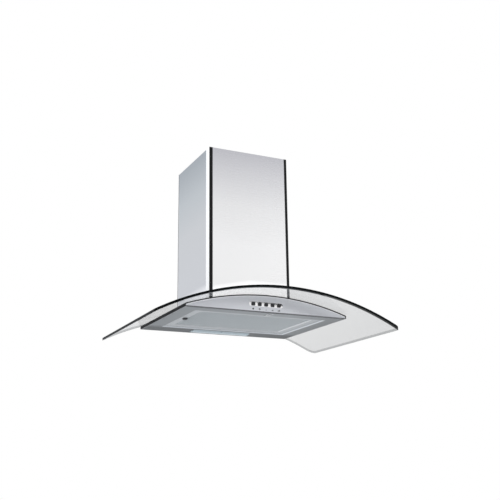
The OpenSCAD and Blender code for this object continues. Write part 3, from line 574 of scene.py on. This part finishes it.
# bright clamping bead round the opening of the filter frame
ff = NODES["filter_frame"].data
fz = min(v.co.z for v in ff.vertices)
wall = BVHTree.FromPolygons([v.co for v in ff.vertices], [tuple(q.vertices) for q in ff.polygons])
src_pt = Vector(((x0 + x1) / 2 + 0.037, (y0 + y1) / 2 + 0.043, fz + 0.0012))
reach = [wall.ray_cast(src_pt, Vector(d))[0] for d in ((-1, 0, 0), (1, 0, 0), (0, -1, 0), (0, 1, 0))]
X0, X1, Y0, Y1 = reach[0].x - 0.0001, reach[1].x + 0.0001, reach[2].y - 0.0001, reach[3].y + 0.0001
llo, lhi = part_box("filter_latch")
run = [(X0, lhi.y + 0.004, 1, 0), (X0, Y1, 1, -1), (X1, Y1, -1, -1), (X1, Y0, -1, 1), (X0, Y0, 1, 1), (X0, llo.y - 0.004, 1, 0)]
verts, faces = [], []
for px, py, dx, dy in run:
    for ox, oz in ((0.0, fz + 0.0003), (0.0042, zb - 0.0004), (0.0042, zb + 0.0006), (0.0, zb + 0.0006)):
        verts.append((px + dx * ox, py + dy * ox, oz))
for a in range(len(run) - 1):
    for k in range(4):
        k2 = (k + 1) % 4
        faces.append((a * 4 + k, a * 4 + k2, (a + 1) * 4 + k2, (a + 1) * 4 + k))
faces += [(3, 2, 1, 0), tuple(len(verts) - 4 + k for k in range(4))]
BEAD = metal("bead_aluminium", (0.64, 0.655, 0.67), 0.30, (900, 900, 3), var=0.03, bump_s=0.04)
piece("filter_clamping_bead", verts, faces, BEAD, "filter_panel", smooth=False)

# black sealing bead in the joint between fascia and bottom frame; its black also stands in for the shadow gap in that
# joint (painted shade)
flo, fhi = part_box("fascia")
blo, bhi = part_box("bottom_frame")
bead_y0, bead_y1 = flo.y + 0.0016, blo.y - 0.0001
R = (bead_y1 - bead_y0) / 2
path, fr = [], []
for i in range(121):
    path.append((flo.x + 0.004 + (fhi.x - flo.x - 0.008) * i / 120, (bead_y0 + bead_y1) / 2, blo.z + 0.00035))
    fr.append(((0, 1, 0), (0, 0, 1)))
prof = [(R * math.cos(a * math.pi / 6), 0.00085 * math.sin(a * math.pi / 6)) for a in range(12)]
v, f = sweep(path, fr, prof)
piece("front_sealing_bead_painted_shade", v, f, SEAL, "hood")

# the lips of the corner trims that lap over the front panel of the chimney
clo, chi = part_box("chimney_front")
for side, name in ((-1, "left"), (1, "right")):
    xe = clo.x if side < 0 else chi.x
    foot = min(v.co.z for v in NODES["chimney_front"].data.vertices if abs(v.co.x - xe) < 0.012)
    w = 0.0055 if side < 0 else 0.003
    xa, xb = sorted((xe, xe - side * w))
    path = [(0, clo.y, foot + 0.0012 + (chi.z - foot - 0.0012) * i / 40) for i in range(41)]
    prof = [(xa, 0.00004), (xa, 0.0006), (xa + 0.0003, 0.0009), (xb - 0.0003, 0.0009), (xb, 0.0006), (xb, 0.00004)]
    v, f = sweep(path, [((1, 0, 0), (0, -1, 0))] * 41, prof)
    piece("trim_lip_" + name, v, f, BLACK, "hood")

# folded lower edge of the fascia, coloured dark as painted shade for the shadow line along the fascia's foot
SHADE = plastic("lower_edge_painted_shade", (0.16, 0.165, 0.17), 0.45, 700, var=0.1, bump_s=0.05, edge=0.0, spec=0.3)
path, fr = [], []
for i in range(101):
    path.append((flo.x + 0.0012 + (fhi.x - flo.x - 0.0024) * i / 100, flo.y, blo.z + 0.0016))
    fr.append(((0, 0, 1), (0, -1, 0)))
prof = [(-0.0016, -0.0002), (-0.0016, 0.0004), (-0.0011, 0.0007), (0.0009, 0.0007), (0.0014, 0.0004), (0.0014, -0.0002)]
v, f = sweep(path, fr, prof)
piece("fascia_lower_fold", v, f, SHADE, "hood")

# rolled hem along the arched top of the fascia
R_BODY = 0.9678
ZC = -math.sqrt((0.975 - 0.004) ** 2 - 0.45 ** 2)
path, fr = [], []
a_end = math.asin((fhi.x - 0.0015) / R_BODY)
for i in range(161):
    a = -a_end + 2 * a_end * i / 160
    rr = R_BODY - 0.0019
    path.append((rr * math.sin(a), flo.y - 0.0001, ZC + rr * math.cos(a)))
    fr.append(((math.sin(a), 0, math.cos(a)), (0, -1, 0)))
prof = [(-0.0013, -0.0004), (-0.0013, 0.0003), (-0.0008, 0.0008), (0.0, 0.001), (0.0008, 0.0008), (0.0013, 0.0003), (0.0013, -0.0004)]
v, f = sweep(path, fr, prof)
piece("fascia_rolled_hem", v, f, BRIGHT, "hood")

# prism ribs moulded across the lamp covers
for side in ("left", "right"):
    clo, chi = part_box("lamp_cover_" + side)
    xs0, xs1 = (clo.x + 0.0055, chi.x - 0.0035) if side == "left" else (clo.x + 0.0035, chi.x - 0.0055)
    blo_, bhi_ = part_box("lamp_cover_" + side)
    yc = (blo_.y - 0.001 + bhi_.y + 0.0004) / 2
    lr = (29 * 29 + 49) / 14 / 1000.0
    yc = (0.210 + 0.268) / 2
    zc2 = blo.z - 0.004 + lr
    verts, faces = [], []
    steps = int((xs1 - xs0) / 0.00055)
    NA = 22
    for i in range(steps + 1):
        x = xs0 + (xs1 - xs0) * i / steps
        rib = 0.00042 * abs(math.sin(i * math.pi / 6.0))
        for k in range(NA + 1):
            yy = -0.0262 + 0.0524 * k / NA
            rr = lr + 0.00012 + rib
            zz = zc2 - math.sqrt(rr * rr - yy * yy)
            verts.append((x, yc + yy, zz))
    for i in range(steps):
        for k in range(NA):
            a = i * (NA + 1) + k
            faces.append((a, a + 1, a + NA + 2, a + NA + 1))
    ob = piece("lamp_cover_ribs_" + side, verts, faces, COVER, "lamp_cover_" + side)
    so = ob.modifiers.new("thickness", "SOLIDIFY")
    so.thickness = 0.0006
    so.offset = -1.0 if ob.data.polygons[0].normal.z < 0 else 1.0

# rounded edges on parts whose sharp corners catch the eye
for name, w in (("button_light", 0.0007), ("button_off", 0.0007), ("button_low", 0.0007), ("button_medium", 0.0007),
                ("button_high", 0.0007), ("control_bezel", 0.0003), ("chimney_trims", 0.0005), ("filter_frame", 0.0005),
                ("filter_latch", 0.0005), ("filter_pull", 0.0003), ("terminal_box", 0.0008), ("ceiling_plate", 0.0004)):
    ob = NODES[name]
    wd = ob.modifiers.new("weld", "WELD")
    wd.merge_threshold = 0.00001
    bv = ob.modifiers.new("round", "BEVEL")
    bv.width = w
    bv.segments = 2
    bv.limit_method = "ANGLE"
    bv.angle_limit = math.radians(40)
    bv.harden_normals = False

# ------------------------------------------------------------------ world and light
world = bpy.data.worlds.new("studio")
scene.world = world
world.use_nodes = True
wn = world.node_tree
for n in list(wn.nodes):
    wn.nodes.remove(n)
wout = wn.nodes.new("ShaderNodeOutputWorld")
bg_seen = wn.nodes.new("ShaderNodeBackground")
bg_lit = wn.nodes.new("ShaderNodeBackground")
mixw = wn.nodes.new("ShaderNodeMixShader")
lp = wn.nodes.new("ShaderNodeLightPath")
seen = math_(wn, "MAXIMUM", lp.outputs["Is Camera Ray"], lp.outputs["Is Transmission Ray"])
wn.links.new(seen, mixw.inputs[0])
wn.links.new(bg_lit.outputs[0], mixw.inputs[1])
wn.links.new(bg_seen.outputs[0], mixw.inputs[2])
wn.links.new(mixw.outputs[0], wout.inputs["Surface"])
bg_seen.inputs["Color"].default_value = (1, 1, 1, 1)
bg_seen.inputs["Strength"].default_value = 1.0
tc = wn.nodes.new("ShaderNodeTexCoord")
sp = wn.nodes.new("ShaderNodeSeparateXYZ")
wn.links.new(tc.outputs["Generated"], sp.inputs[0])
elev = rng(wn, sp.outputs[2], -1.0, 1.0, 0.0, 1.0)
# height: dim floor, bright band over the horizon, darker top
col_h = ramp(wn, elev, [(0.0, (0.50, 0.51, 0.53)), (0.36, (0.56, 0.57, 0.58)), (0.5, (0.90, 0.90, 0.91)),
                        (0.66, (0.93, 0.93, 0.93)), (0.80, (0.80, 0.81, 0.83)), (1.0, (0.70, 0.71, 0.74))])
# round the room: the left and rear of the studio is dimmer and bluer
side = rng(wn, math_(wn, "ADD", math_(wn, "MULTIPLY", sp.outputs[0], 0.45), math_(wn, "MULTIPLY", sp.outputs[1], -0.9)), -1.0, 1.0, 0.0, 1.0)
col_s = ramp(wn, side, [(0.0, (0.70, 0.72, 0.745)), (0.3, (0.74, 0.755, 0.775)), (0.75, (1.0, 1.0, 1.0)), (1.0, (1.0, 1.0, 1.0))])
wn.links.new(mix(wn, 1.0, col_h, col_s, "MULTIPLY"), bg_lit.inputs["Color"])
bg_lit.inputs["Strength"].default_value = 1.0


def area(name, loc, target, size, energy, color=(1, 1, 1)):
    ld = bpy.data.lights.new(name, "AREA")
    ld.shape = "RECTANGLE"
    ld.size, ld.size_y = size
    ld.energy = energy
    ld.color = color
    ob = bpy.data.objects.new(name, ld)
    ob.location = loc
    ob.rotation_euler = (Vector(target) - Vector(loc)).to_track_quat("-Z", "Y").to_euler()
    scene.collection.objects.link(ob)
    return ob


area("key", (-2.6, -3.4, 3.0), (0, 0, 0.2), (2.4, 2.4), 26)
area("fill", (3.2, -2.2, 1.6), (0, 0, 0.2), (2.0, 2.0), 10)

# ------------------------------------------------------------------ floor, far below the hood
def disc(name, r, z, segs=96):
    me = bpy.data.meshes.new(name)
    bm = bmesh.new()
    bmesh.ops.create_circle(bm, cap_ends=True, radius=r, segments=segs)
    bmesh.ops.translate(bm, verts=bm.verts, vec=(0, 0, z))
    bm.to_mesh(me)
    bm.free()
    ob = bpy.data.objects.new(name, me)
    scene.collection.objects.link(ob)
    return ob


floor = disc("floor", 9.8, -3.5)
fm, fnt, fb = new_mat("pale_floor")
nf = noise(fnt, (0.8, 0.8, 0.8), 1.0, 3.0, 0.5)
fnt.links.new(ramp(fnt, nf, [(0.3, (0.83, 0.83, 0.83)), (0.7, (0.86, 0.86, 0.86))]), fb.inputs["Base Color"])
fb.inputs["Roughness"].default_value = 0.7
ftc = fnt.nodes.new("ShaderNodeTexCoord")
fln = fnt.nodes.new("ShaderNodeVectorMath")
fln.operation = "LENGTH"
fmp = fnt.nodes.new("ShaderNodeMapping")
fmp.inputs["Scale"].default_value = (1, 1, 0)
fnt.links.new(ftc.outputs["Object"], fmp.inputs["Vector"])
fnt.links.new(fmp.outputs["Vector"], fln.inputs[0])
fb.inputs["Emission Color"].default_value = (1, 1, 1, 1)
fnt.links.new(rng(fnt, fln.outputs["Value"], 1.3, 9.5, 0.0, 0.75), fb.inputs["Emission Strength"])
floor.data.materials.append(fm)
floor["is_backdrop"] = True

lo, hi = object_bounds()
